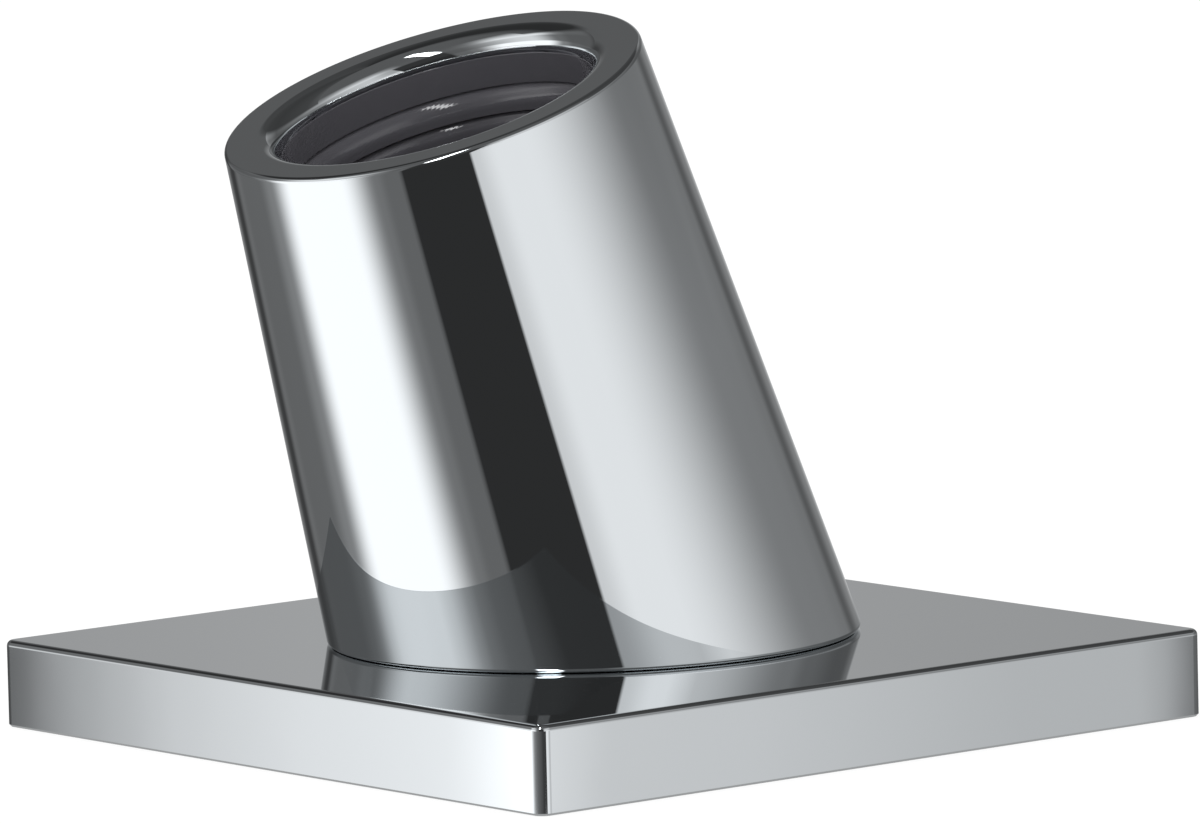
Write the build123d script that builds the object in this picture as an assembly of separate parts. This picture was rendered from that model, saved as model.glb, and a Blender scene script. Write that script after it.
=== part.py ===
# Pull-out shower outlet for the rim of a bath: a square cover plate carries a leaning, tapered
# socket. The hose runs up through a threaded tube under the plate and out of the socket's mouth.
# Millimetres. The origin is the middle of the cover plate where it lies on the deck (z = 0).
# +Z is up, the plate's sides lie along X and Y, and the socket leans towards -Y. Its axis crosses
# the upright axis of the plate at the pivot height.
import os
from math import cos, radians, sin, sqrt, tan

from build123d import *

# Cover plate
plate_side = 70.0
plate_thickness = 7.2
plate_corner_r = 1.1
plate_top_edge_r = 0.85
plate_foot_chamfer = 0.2
rim_width = 4.0
gasket_thickness = 1.5
recess_corner_r = 2.0

# Leaning socket
lean_deg = 18.33
lean_pivot_z = 4.28
socket_length = 48.3
mouth_outer_r = 17.45
socket_taper = 0.0787
mouth_rim_r = 0.35
foot_edge_r = 0.3

# Mouth of the socket, measured in from its face
lip_face_r = 13.85
lip_bore_r = 13.0
lip_depth = 1.95
lip_bulge = 0.22

# Guide bush in the mouth
bush_wall = 1.15
bush_length = 24.0
bush_bore_r = 12.5
collar_depth = 2.6
shadow_groove_width = 0.3
shadow_groove_depth = 0.4
ring_lip_depth = 0.7
ring_lip_bulge = 0.2
seat_step_from_top = 4.8
seat_step = 0.4
bush_flare = 0.9
bush_groove_from_top = 12.5

# Threaded tube and how it joins the plate to the socket
neck_thread_r = 15.0
neck_engagement = 8.7
flange_overlap = 4.0
flange_thickness = 2.5
flange_lift = 0.3
seal_thickness = 1.0
tube_bore_r = 12.6
deck_thread_r = 16.5
tube_length = 60.0
relief_length = 1.7
relief_depth = 0.9
tube_chamfer = 1.0
spanner_slot_width = 6.0
spanner_slot_depth = 3.0

# Locating pins, seals and snap ring
pin_r = 1.0
pin_wall = 0.8
pin_length = 5.9
pin_end_chamfer = 0.2
o_ring_width = 1.6
foot_groove_wall = 0.9
foot_groove_depth = 1.3
bush_ring_width = 1.6
bush_ring_thickness = 0.85
squeezed_corner = 0.28
snap_ring_thickness = 1.1
snap_ring_bite = 0.9
snap_ring_gap_deg = 36.0

# Hose guide in the lower end of the tube
guide_bore_r = 10.8
guide_sleeve_length = 14.0
guide_flange_step = 1.5
guide_flange_thickness = 2.5
guide_mouth_r = 2.2
guide_top_chamfer = 1.0

# Fixing kit below the deck
deck_thickness = 20.0
washer_band = 10.5
rubber_washer_thickness = 3.0
clamp_washer_thickness = 2.0
nut_wall = 9.5
nut_thickness = 9.0
nut_gap = 3.0
nut_thread_chamfer = 0.8
screw_count = 3
screw_stand_off = 5.0
screw_r = 2.5
screw_length = 16.0
screw_tip_r = 1.7
screw_tip_length = 1.5
screw_head_across_flats = 8.0
screw_head_height = 3.5
nut_edge_angle_deg = 30.0

# Clearances, each on one side
thread_clearance = 0.05
nut_clearance = 0.08
bush_clearance = 0.08
pass_clearance = 0.3
washer_clearance = 0.5
gasket_clearance = 0.2
pin_clearance = 0.02
seal_clearance = 0.02
overcut = 1.0

# Places that follow from the sizes above
foot_z = plate_thickness
lean = radians(lean_deg)
lean_axis = Vector(0, -sin(lean), cos(lean))
foot_centre = Vector(0, -(foot_z - lean_pivot_z) * tan(lean), foot_z)
mouth_centre = foot_centre + lean_axis * socket_length
mouth_profile = Plane(origin=mouth_centre, x_dir=(1, 0, 0), z_dir=(0, -cos(lean), -sin(lean)))
flange_r = neck_thread_r + flange_overlap
pin_circle_r = neck_thread_r + pin_wall + pin_r
foot_groove_r = pin_circle_r + pin_r + foot_groove_wall + o_ring_width / 2
guide_flange_r = deck_thread_r - guide_flange_step
washer_outer_r = deck_thread_r + washer_band
nut_across_flats = 2 * (deck_thread_r + nut_wall)
screw_circle_r = deck_thread_r + screw_stand_off
flange_top_z = flange_lift + flange_thickness
seal_top_z = flange_top_z + seal_thickness
neck_top_z = foot_z + neck_engagement
neck_bore_top_z = neck_top_z + pass_clearance
tube_end_z = -tube_length
bush_outer_r = lip_bore_r + bush_wall
socket_bore_r = bush_outer_r + bush_clearance
bush_end_depth = lip_depth + bush_length
bush_groove_r = socket_bore_r - bush_ring_thickness
snap_groove_depth = bush_end_depth + pass_clearance
snap_groove_r = socket_bore_r + snap_ring_bite
rubber_top_z = -deck_thickness
clamp_top_z = rubber_top_z - rubber_washer_thickness
clamp_foot_z = clamp_top_z - clamp_washer_thickness
nut_top_z = clamp_foot_z - nut_gap
nut_foot_z = nut_top_z - nut_thickness
screw_head_top_z = clamp_foot_z - screw_length
pin_low_z = seal_top_z + pass_clearance
seated_below = (Align.CENTER, Align.CENTER, Align.MIN)


def closed_face(*edges):
    """A face inside edges that meet end to end."""
    return make_face(Curve() + list(edges))


def turned(points):
    """A body of revolution about Z from (radius, height) corners."""
    return upright_turned(make_face(Polyline(*points, close=True)))


def upright_turned(face):
    """A body of revolution about Z from a face drawn as (radius, height)."""
    return revolve(Plane.XZ * face, axis=Axis.Z)


def leaning_turned(face):
    """A body of revolution about the socket's axis, drawn as (radius, height above the mouth)."""
    return revolve(mouth_profile * face, axis=Axis(mouth_centre, lean_axis))


def leaning_ring(inner_r, outer_r, top_depth, height):
    """A plain ring about the socket's axis, its top that deep below the mouth."""
    low = -(top_depth + height)
    corners = [(inner_r, -top_depth), (outer_r, -top_depth), (outer_r, low), (inner_r, low)]
    return leaning_turned(make_face(Polyline(*corners, close=True)))


def ring(inner_r, outer_r, low_z, height):
    """A flat ring about Z."""
    return Pos(0, 0, low_z) * extrude(Circle(outer_r) - Circle(inner_r), amount=height)


def squeezed_section(inner_r, outer_r, low, high):
    """The section of a sealing ring under pressure: flat where it presses, with its corners off."""
    section = Rectangle(outer_r - inner_r, high - low)
    section = chamfer(section.vertices(), squeezed_corner * min(outer_r - inner_r, high - low))
    return Pos((inner_r + outer_r) / 2, (low + high) / 2) * section


def socket_outer_r(above_foot):
    """The socket's outer radius at a height along its axis."""
    return mouth_outer_r + socket_taper * (socket_length - above_foot)


def make_cover_plate():
    blank = Pos(0, 0, plate_thickness / 2) * Box(plate_side, plate_side, plate_thickness)
    blank = fillet(blank.edges().filter_by(Axis.Z), plate_corner_r)
    blank = fillet(blank.faces().sort_by(Axis.Z)[-1].edges(), plate_top_edge_r)
    blank = chamfer(blank.faces().sort_by(Axis.Z)[0].edges(), plate_foot_chamfer)
    recess_side = plate_side - 2 * rim_width
    recess = extrude(RectangleRounded(recess_side, recess_side, recess_corner_r), gasket_thickness)
    flange_seat = Pos(0, 0, seal_top_z / 2) * Cylinder(flange_r + pass_clearance, seal_top_z)
    neck_hole = Cylinder(neck_thread_r + pass_clearance, 3 * plate_thickness)
    pin_holes = [place * Cylinder(pin_r + pin_clearance, 3 * plate_thickness) for place in pin_places()]
    return blank - recess - flange_seat - neck_hole - pin_holes


def pin_places():
    """The two locating pins stand either side of the neck, across the lean."""
    return PolarLocations(pin_circle_r, 2)


def make_plate_gasket():
    side = plate_side - 2 * (rim_width + gasket_clearance)
    corner = recess_corner_r - gasket_clearance
    opening = Circle(flange_r + pass_clearance + gasket_clearance)
    return extrude(RectangleRounded(side, side, corner) - opening, gasket_thickness)


def make_socket_blank():
    """The tapered outside, long enough to be cut off level at the foot."""
    below = 2 * mouth_outer_r * sin(lean) + plate_thickness
    low = -(socket_length + below)
    side_start = (mouth_outer_r + socket_taper * mouth_rim_r, -mouth_rim_r)
    edges = [
        Line((0, 0), (mouth_outer_r - mouth_rim_r, 0)),
        RadiusArc((mouth_outer_r - mouth_rim_r, 0), side_start, mouth_rim_r),
        Line(side_start, (socket_outer_r(-below), low)),
        Line((socket_outer_r(-below), low), (0, low)),
        Line((0, low), (0, 0)),
    ]
    cone = leaning_turned(closed_face(*edges))
    level = split(cone, bisect_by=Plane.XY.offset(foot_z), keep=Keep.TOP)
    foot_edge = level.faces().sort_by(Axis.Z)[0].edges()
    return fillet(foot_edge, foot_edge_r)


def make_mouth_cut():
    """The open mouth: a rounded lip with a shoulder behind it, then the bore for the bush."""
    low = -(socket_length + 2 * mouth_outer_r * sin(lean))
    half = Vector((lip_face_r + lip_bore_r) / 2, -lip_depth / 2)
    half += Vector(-lip_depth, lip_face_r - lip_bore_r).normalized() * lip_bulge
    edges = [
        Line((0, overcut), (lip_face_r, overcut)),
        Line((lip_face_r, overcut), (lip_face_r, 0)),
        ThreePointArc((lip_face_r, 0), half, (lip_bore_r, -lip_depth)),
        Line((lip_bore_r, -lip_depth), (socket_bore_r, -lip_depth)),
        Line((socket_bore_r, -lip_depth), (socket_bore_r, low)),
        Line((socket_bore_r, low), (0, low)),
        Line((0, low), (0, overcut)),
    ]
    return leaning_turned(closed_face(*edges))


def make_outlet_body():
    neck_bore = Cylinder(neck_thread_r, neck_bore_top_z - foot_z + overcut, align=seated_below)
    neck_bore = Pos(0, 0, foot_z - overcut) * neck_bore
    snap_height = snap_ring_thickness + pass_clearance
    snap_groove = leaning_ring(bush_bore_r, snap_groove_r, snap_groove_depth, snap_height)
    seal_groove = ring(
        foot_groove_r - o_ring_width / 2 - seal_clearance,
        foot_groove_r + o_ring_width / 2 + seal_clearance,
        foot_z,
        foot_groove_depth,
    )
    pin_hole = Cylinder(pin_r + pin_clearance, pin_length, align=seated_below)
    pin_holes = [place * Pos(0, 0, pin_low_z) * pin_hole for place in pin_places()]
    body = make_socket_blank() - make_mouth_cut() - neck_bore
    return body - snap_groove - seal_groove - pin_holes


def rounded_lip(from_r, high, low):
    """The arc that leads the hose from a wider radius down into the bush's bore."""
    mid_r = (from_r + bush_bore_r) / 2 - ring_lip_bulge * (from_r - bush_bore_r)
    mid_height = (high + low) / 2 + ring_lip_bulge * (high - low)
    return ThreePointArc((from_r, high), (mid_r, mid_height), (bush_bore_r, low))


def make_mouth_bush():
    """Behind the lip: a collar, a fine shadow groove and two rounded rings that guide the hose."""
    top, low = -lip_depth, -bush_end_depth
    collar_r = lip_bore_r + bush_clearance
    groove_top = top - collar_depth
    groove_mid = groove_top - shadow_groove_width / 2
    groove_low = groove_top - shadow_groove_width
    ring_low = groove_low - ring_lip_depth
    step_r = bush_bore_r + seat_step
    step_top = top - seat_step_from_top
    step_low = step_top - ring_lip_depth
    flare_r = bush_bore_r + bush_flare
    edges = [
        Line((bush_outer_r, top), (collar_r, top)),
        Line((collar_r, top), (collar_r, groove_top)),
        Line((collar_r, groove_top), (collar_r + shadow_groove_depth, groove_mid)),
        Line((collar_r + shadow_groove_depth, groove_mid), (collar_r, groove_low)),
        rounded_lip(collar_r, groove_low, ring_low),
        Line((bush_bore_r, ring_low), (bush_bore_r, step_top)),
        Line((bush_bore_r, step_top), (step_r, step_top)),
        rounded_lip(step_r, step_top, step_low),
        Line((bush_bore_r, step_low), (bush_bore_r, low + bush_flare)),
        Line((bush_bore_r, low + bush_flare), (flare_r, low)),
        Line((flare_r, low), (bush_outer_r, low)),
        Line((bush_outer_r, low), (bush_outer_r, top)),
    ]
    bush = leaning_turned(closed_face(*edges))
    groove_from = lip_depth + bush_groove_from_top
    groove = leaning_ring(bush_groove_r, bush_outer_r + overcut, groove_from, bush_ring_width)
    return bush - groove


def make_bush_o_ring():
    high = -(lip_depth + bush_groove_from_top + seal_clearance)
    low = high - bush_ring_width + 2 * seal_clearance
    return leaning_turned(squeezed_section(bush_groove_r, socket_bore_r - seal_clearance, low, high))


def make_bush_snap_ring():
    """Springs into its groove under the bush. It is open at the back of the lean."""
    top_depth = snap_groove_depth
    outer = snap_groove_r - pass_clearance / 2
    inner = bush_bore_r + bush_flare
    plain = leaning_ring(inner, outer, top_depth, snap_ring_thickness)
    half = snap_groove_r * radians(snap_ring_gap_deg) / 2
    place = Plane(mouth_centre - lean_axis * top_depth, x_dir=(1, 0, 0), z_dir=lean_axis)
    gap = place * Pos(0, snap_groove_r, 0) * Box(2 * half, snap_groove_r, 4 * snap_ring_thickness)
    return plain - gap


def make_foot_o_ring():
    inner = foot_groove_r - o_ring_width / 2
    outer = foot_groove_r + o_ring_width / 2
    return upright_turned(squeezed_section(inner, outer, foot_z, foot_z + foot_groove_depth))


def make_locating_pins():
    pin = Cylinder(pin_r, pin_length, align=seated_below)
    pin = chamfer(pin.edges(), pin_end_chamfer)
    return Compound(children=[place * Pos(0, 0, pin_low_z) * pin for place in pin_places()])


def make_flange_seal():
    return ring(neck_thread_r + pass_clearance, flange_r, flange_top_z, seal_thickness)


def make_threaded_tube():
    """Screws up into the socket, so that its flange pulls plate and socket together."""
    neck_r = neck_thread_r - thread_clearance
    relief_r = deck_thread_r - relief_depth
    corners = [
        (tube_bore_r + tube_chamfer, neck_top_z),
        (neck_r - tube_chamfer, neck_top_z),
        (neck_r, neck_top_z - tube_chamfer),
        (neck_r, flange_top_z),
        (flange_r, flange_top_z),
        (flange_r, flange_lift),
        (relief_r, flange_lift),
        (relief_r, -relief_length),
        (deck_thread_r, -relief_length - relief_depth),
        (deck_thread_r, tube_end_z + tube_chamfer),
        (deck_thread_r - tube_chamfer, tube_end_z),
        (tube_bore_r, tube_end_z),
        (tube_bore_r, neck_top_z - tube_chamfer),
    ]
    slot = Box(3 * deck_thread_r, spanner_slot_width, 2 * spanner_slot_depth)
    return turned(corners) - Pos(0, 0, tube_end_z) * slot


def make_lower_hose_guide():
    """A smooth plastic sleeve, so that the hose doesn't chafe on the tube's sharp end."""
    sleeve_r = tube_bore_r - bush_clearance
    sleeve_top = tube_end_z + guide_sleeve_length
    low = tube_end_z - guide_flange_thickness
    mouth = (guide_bore_r + guide_mouth_r, low)
    throat = (guide_bore_r, low + guide_mouth_r)
    edges = [
        Line((guide_bore_r + guide_top_chamfer, sleeve_top), (sleeve_r, sleeve_top)),
        Line((sleeve_r, sleeve_top), (sleeve_r, tube_end_z)),
        Line((sleeve_r, tube_end_z), (guide_flange_r, tube_end_z)),
        Line((guide_flange_r, tube_end_z), (guide_flange_r, low)),
        Line((guide_flange_r, low), mouth),
        RadiusArc(mouth, throat, guide_mouth_r),
        Line(throat, (guide_bore_r, sleeve_top - guide_top_chamfer)),
        Line((guide_bore_r, sleeve_top - guide_top_chamfer), (guide_bore_r + guide_top_chamfer, sleeve_top)),
    ]
    return upright_turned(closed_face(*edges))


def make_rubber_washer():
    inner = deck_thread_r + washer_clearance
    return ring(inner, washer_outer_r, clamp_top_z, rubber_washer_thickness)


def make_clamp_washer():
    inner = deck_thread_r + washer_clearance
    return ring(inner, washer_outer_r, clamp_foot_z, clamp_washer_thickness)


def hex_prism(across_flats, low_z, height):
    """A six-sided bar with its corners turned down at both ends, as nuts and screw heads have."""
    corner_r = across_flats / sqrt(3)
    bar = Pos(0, 0, low_z) * extrude(RegularPolygon(corner_r, 6), height)
    drop = (corner_r - across_flats / 2) * sin(radians(nut_edge_angle_deg))
    face_r = across_flats / 2
    corners = [
        (0, low_z),
        (face_r, low_z),
        (corner_r, low_z + drop),
        (corner_r, low_z + height - drop),
        (face_r, low_z + height),
        (0, low_z + height),
    ]
    return bar & turned(corners)


def make_lock_nut():
    bore_r = deck_thread_r + nut_clearance
    wide = bore_r + nut_thread_chamfer
    corners = [
        (0, nut_top_z + overcut),
        (wide + overcut, nut_top_z + overcut),
        (bore_r, nut_top_z - nut_thread_chamfer),
        (bore_r, nut_foot_z + nut_thread_chamfer),
        (wide + overcut, nut_foot_z - overcut),
        (0, nut_foot_z - overcut),
    ]
    tapped = Cylinder(screw_r + pin_clearance, 3 * nut_thickness)
    holes = [place * Pos(0, 0, nut_top_z) * tapped for place in screw_places()]
    return hex_prism(nut_across_flats, nut_foot_z, nut_thickness) - turned(corners) - holes


def screw_places():
    """The jack screws stand evenly round the nut, one of them at its front."""
    return PolarLocations(screw_circle_r, screw_count, start_angle=-90)


def make_jack_screw():
    corners = [
        (0, clamp_foot_z),
        (screw_tip_r, clamp_foot_z),
        (screw_tip_r, clamp_foot_z - screw_tip_length),
        (screw_r, clamp_foot_z - screw_tip_length - (screw_r - screw_tip_r)),
        (screw_r, screw_head_top_z),
        (0, screw_head_top_z),
    ]
    head = hex_prism(screw_head_across_flats, screw_head_top_z - screw_head_height, screw_head_height)
    return turned(corners) + head


def make_jack_screws():
    return Compound(children=[place * make_jack_screw() for place in screw_places()])


parts = {
    "cover_plate": make_cover_plate,
    "outlet_body": make_outlet_body,
    "mouth_bush": make_mouth_bush,
    "bush_o_ring": make_bush_o_ring,
    "bush_snap_ring": make_bush_snap_ring,
    "foot_o_ring": make_foot_o_ring,
    "locating_pins": make_locating_pins,
    "plate_gasket": make_plate_gasket,
    "flange_seal": make_flange_seal,
    "threaded_tube": make_threaded_tube,
    "lower_hose_guide": make_lower_hose_guide,
    "rubber_washer": make_rubber_washer,
    "clamp_washer": make_clamp_washer,
    "lock_nut": make_lock_nut,
    "jack_screws": make_jack_screws,
}

os.makedirs("parts", exist_ok=True)
for name, make in parts.items():
    solid = make()
    export_step(solid, f"parts/{name}.step")
    print(name, round(solid.volume, 1))
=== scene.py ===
# %% [markdown]
# # A pull-out shower outlet for the rim of a bath
# We dress a solid model of a chromed bath fitting: a square cover plate, a leaning socket that a
# shower hose slides out of, and the fixing kit under the deck. The solids come in as a fixed
# frame, in metres, and every piece that we make rides on one of its bodies. This first cell
# brings the frame in.

# %% Bring in the frame
from math import acos, asin, atan2, ceil, cos, degrees, pi, radians, sin, sqrt, tan

import bmesh
import bpy
from mathutils import Matrix, Vector


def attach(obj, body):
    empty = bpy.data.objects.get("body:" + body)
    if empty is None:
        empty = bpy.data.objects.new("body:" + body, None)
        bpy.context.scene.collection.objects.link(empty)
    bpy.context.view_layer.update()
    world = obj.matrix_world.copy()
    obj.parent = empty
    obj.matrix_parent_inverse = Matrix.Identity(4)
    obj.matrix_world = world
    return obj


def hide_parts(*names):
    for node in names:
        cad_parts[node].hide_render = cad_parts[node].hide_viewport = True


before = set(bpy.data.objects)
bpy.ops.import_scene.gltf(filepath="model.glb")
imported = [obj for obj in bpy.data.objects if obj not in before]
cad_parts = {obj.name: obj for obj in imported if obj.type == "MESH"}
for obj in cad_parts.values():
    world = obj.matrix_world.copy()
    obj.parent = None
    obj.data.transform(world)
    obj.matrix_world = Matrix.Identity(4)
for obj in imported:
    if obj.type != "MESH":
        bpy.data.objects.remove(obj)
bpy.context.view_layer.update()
MM = 0.001
print("solids:", sorted(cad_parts))

# %% [markdown]
# The photograph looks at the near corner of the plate through a long lens from a little above,
# which is why its edges hardly converge. The camera is placed by a few numbers that mean
# something: how far round the object it stands, how high, how far away, and how much it is
# tilted. A long lens far away could be swapped for a short one close by, but then the plate's
# far edges would shrink too much.

# %% Camera
LENS, FILM_WIDE, SEES_UP_TO = 346.38, 36, 50
AROUND, ABOVE, TILT = radians(50.544), radians(7.1268), radians(-1.3303)
CAMERA_AT = Vector((723.968, -595.216, 142.722)) * MM


def placed(name, data):
    """A new object that shows some data, linked into the scene."""
    thing = bpy.data.objects.new(name, data)
    bpy.context.scene.collection.objects.link(thing)
    return thing


away = Vector((sin(AROUND) * cos(ABOVE), -cos(AROUND) * cos(ABOVE), sin(ABOVE)))
sideways = Vector((cos(AROUND), sin(AROUND), 0))
upwards = away.cross(sideways)
tilted_right = cos(TILT) * sideways + sin(TILT) * upwards
tilted_up = -sin(TILT) * sideways + cos(TILT) * upwards

camera_data = bpy.data.cameras.new("camera")
camera_data.lens = LENS
camera_data.sensor_width = FILM_WIDE
camera_data.clip_end = SEES_UP_TO
camera = placed("camera", camera_data)
facing = Matrix((tilted_right, tilted_up, away)).transposed().to_4x4()
camera.matrix_world = Matrix.Translation(CAMERA_AT) @ facing
bpy.context.scene.camera = camera
print("camera", round(CAMERA_AT.length, 3), "m from the plate's middle")

# %% [markdown]
# A mirror has no look of its own: it shows the room. So the room is the most important part of
# this picture. A product photographer stands white cards and black cloths round a chrome piece,
# and what we see as its light and dark bands are those cards. We could hang real planes of light
# in the scene, but they would get in the way of other viewpoints. A world shader does the same
# job from infinitely far away. Its direction is turned into a compass angle and a height, and
# colour ramps say how bright the studio is that way. First come small helpers that add nodes.

# %% Node helpers
def new_node(tree, kind, **settings):
    node = tree.nodes.new(kind)
    for name, value in settings.items():
        setattr(node, name, value)
    return node


def sums(tree, operation, *inputs):
    """One Math node. Numbers are typed in and sockets are linked."""
    node = new_node(tree, "ShaderNodeMath", operation=operation)
    for socket, value in zip(node.inputs, inputs):
        if isinstance(value, (int, float)):
            socket.default_value = value
        else:
            tree.links.new(value, socket)
    return node.outputs[0]


def ramp_over(tree, socket, stops, blend="LINEAR"):
    """A ramp of greys over rising (place, grey) stops. It holds 32 stops at most."""
    node = new_node(tree, "ShaderNodeValToRGB")
    node.color_ramp.interpolation = blend
    elements = node.color_ramp.elements
    while len(elements) < len(stops):
        elements.new(0.5)
    for element, (place, _) in zip(elements, stops):
        element.position = place
    for element, (_, grey) in zip(elements, stops):
        element.color = (grey, grey, grey, 1)
    tree.links.new(socket, node.inputs[0])
    return node.outputs[0]


def mixed(tree, share, a, b):
    """Colour a where share is 0 and colour b where it is 1."""
    node = new_node(tree, "ShaderNodeMix", data_type="RGBA", clamp_factor=True)
    tree.links.new(share, node.inputs[0])
    for socket, value in ((node.inputs[6], a), (node.inputs[7], b)):
        if isinstance(value, tuple):
            socket.default_value = (*value, 1)
        else:
            tree.links.new(value, socket)
    return node.outputs[2]


# %% [markdown]
# The list below is the studio at the height of the fitting. Read it as a walk round the object, in
# compass degrees with 0 along +X, and a brightness at each: the plain wall on the left, a broad
# white card with soft edges, a black cloth in front beside the camera, a pale card on the right
# that fades slowly, and the backdrop behind, between two dark gaps. The bands on the leaning
# socket are this walk, squeezed. The stops say where a card begins, is fully lit, fades and ends.
# Soft edges need no stops of their own: the ramp is set to Ease, which bends softly between two.

# %% The studio at eye level
LEVEL_WALK = [
    (-180, 0.145), (-162, 0.15),
    (-150.8, 0.25), (-133.6, 1.26), (-98.5, 1.25), (-75.5, 0.20), (-69, 0.15), (-61.2, 0.15),
    (-59.4, 0.03), (-22.4, 0.03),
    (-21.3, 0.73), (-8, 0.945), (5, 0.945), (72, 0.235), (88, 0.225), (101, 0.20),
    (109, 0.11), (122, 0.235), (138, 0.56), (142, 0.56), (148, 0.30), (154, 0.165),
    (163, 0.055), (166, 0.05), (174, 0.165), (180, 0.145),
]
world = bpy.data.worlds.new("studio")
bpy.context.scene.world = world
world.use_nodes = True
sky = world.node_tree
sky.nodes.clear()
looking = new_node(sky, "ShaderNodeTexCoord").outputs["Generated"]
parts_of_it = new_node(sky, "ShaderNodeSeparateXYZ")
sky.links.new(looking, parts_of_it.inputs[0])
east, north, rise = parts_of_it.outputs
compass = sums(sky, "ARCTAN2", north, east)


def walk(stops, blend="LINEAR"):
    """How bright it is that way, from (compass degrees, brightness) stops all the way round."""
    place = sums(sky, "MULTIPLY_ADD", compass, 1 / (2 * pi), 0.5)
    return ramp_over(sky, place, [((deg + 180) / 360, grey) for deg, grey in stops], blend)


level_room = walk(LEVEL_WALK, "EASE")
print("stops in the level walk:", len(LEVEL_WALK))

# %% [markdown]
# Higher up the same cards are dimmer, because they lean away from the lamps. The plate's top
# mirrors this upper part, and the foot of the socket mirrors the plate's top, so the dark band of
# the black cloth runs on below the socket, only weaker at its sides. The two walks blend over a
# few degrees of height.

# %% The studio above eye level
UPPER_WALK = [
    (-180, 0.115), (-160, 0.12),
    (-146, 0.17), (-121, 0.81), (-118, 0.80), (-68, 0.125), (-61.2, 0.118),
    (-59.4, 0.045), (-22.4, 0.04),
    (-21.3, 0.43), (0, 0.68), (58, 0.21), (72, 0.15), (100, 0.10),
    (110, 0.10), (124, 0.17), (134, 0.32), (137.5, 0.34), (142, 0.39), (143.3, 0.35), (146, 0.26),
    (158, 0.075), (163, 0.055), (166, 0.055), (177, 0.115), (180, 0.115),
]
LEVEL_ENDS, UPPER_BEGINS = 4.5, 8.0
upper_room = walk(UPPER_WALK, "EASE")


def clamped(value):
    return sums(sky, "MINIMUM", sums(sky, "MAXIMUM", value, 0), 1)


def rising(low_deg, high_deg):
    """0 below the lower height and 1 above the higher one."""
    low, high = sin(radians(low_deg)), sin(radians(high_deg))
    return clamped(sums(sky, "MULTIPLY_ADD", rise, 1 / (high - low), -low / (high - low)))


room = mixed(sky, rising(LEVEL_ENDS, UPPER_BEGINS), level_room, upper_room)
print("upper walk from", UPPER_BEGINS, "degrees up")

# %% [markdown]
# Only the rounded lip inside the mouth looks at the heights between that and the ceiling. There
# the cards go on, fading slowly into the ceiling, and the black cloth is lighter, which makes the
# soft crescent of light on the lip.

# %% The studio that the lip sees
HIGH_WALK = [
    (-180, 0.15), (-160, 0.16),
    (-150, 0.28), (-144, 0.55), (-138, 1.0), (-132, 1.2), (-102, 1.2), (-94, 0.9), (-86, 0.45), (-80, 0.25),
    (-72, 0.16), (-60, 0.13), (-30, 0.13),
    (-22, 0.45), (-14, 0.75), (-9, 0.95), (10, 1.0), (22, 0.9), (38, 0.6), (54, 0.38), (70, 0.24),
    (110, 0.11), (125, 0.3), (138, 0.56), (142, 0.56), (150, 0.26), (160, 0.08), (169, 0.08), (180, 0.15),
]
UPPER_ENDS, HIGH_BEGINS = 24, 29
room = mixed(sky, rising(UPPER_ENDS, HIGH_BEGINS), room, walk(HIGH_WALK))
print("high walk from", HIGH_BEGINS, "degrees up")

# %% [markdown]
# The flat sides of the plate look at a narrow slice of the room, just under the horizon, where
# the cards stand close. This slice gets its own walk. The small rounded corner between the two
# sides sweeps past the black cloth in it. Where the socket looks into the same slice it has to
# find about what lies around it, so there the slice stays close to the level walk.

# %% The slice at the plate's edge
SLICE_WALK = [
    (-180, 0.05), (-145, 0.12), (-143.4, 0.12),
    (-142.1, 1.38), (-139, 1.38), (-125, 1.15), (-117, 0.70), (-105, 0.36),
    (-97, 0.25), (-79, 0.155), (-62, 0.118), (-46, 0.09), (-29, 0.05), (-4.1, 0.05),
    (-3.6, 0.945), (10, 0.94), (17, 0.87), (22, 0.62), (34, 0.62), (39.1, 0.95), (40.1, 0.64), (41.5, 0.55),
    (43, 0.15), (60, 0.15), (110, 0.11), (122, 0.23), (138, 0.56), (142, 0.56), (148, 0.31), (160, 0.08),
    (167, 0.06), (180, 0.10),
]
SLICE_RISE, SLICE_HALF_HIGH = -0.1508, 0.0085
slice_room = walk(SLICE_WALK)
print("middle of the slice:", round(degrees(asin(SLICE_RISE)), 2), "degrees")

# %% [markdown]
# Each flat side of the plate sees only three degrees of that slice, and a ramp round the whole room
# is too coarse for so few. So each side gets a ramp of its own. The left side looks along a card
# that is dark at its far end and turns white towards the front corner. The right side looks along
# a duller one, pale near the corner and middle grey beyond, which stops at the far end.

# %% What the plate's two flat sides see
LEFT_SIDE_CARD = [
    (-143.58, 0.15), (-143.47, 0.20), (-143.3, 0.40), (-142.7, 0.74), (-142.1, 0.91), (-141.35, 1.02),
    (-141.2, 1.13), (-141.0, 1.36),
]
RIGHT_SIDE_CARD = [
    (38.9, 0.93), (39.33, 0.77), (39.45, 0.70), (40.2, 0.68), (41.5, 0.56), (42.13, 0.55), (42.26, 0.46),
    (42.45, 0.15),
]


def with_close_card(tone, stops):
    """The same tone, with a card laid over the few degrees that its stops span."""
    first, last = radians(stops[0][0]), radians(stops[-1][0])
    place = sums(sky, "MULTIPLY_ADD", compass, 1 / (last - first), -first / (last - first))
    card = ramp_over(sky, place, [((radians(deg) - first) / (last - first), grey) for deg, grey in stops])
    within = sums(sky, "COMPARE", compass, (first + last) / 2, (last - first) / 2)
    return mixed(sky, within, tone, card)


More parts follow.
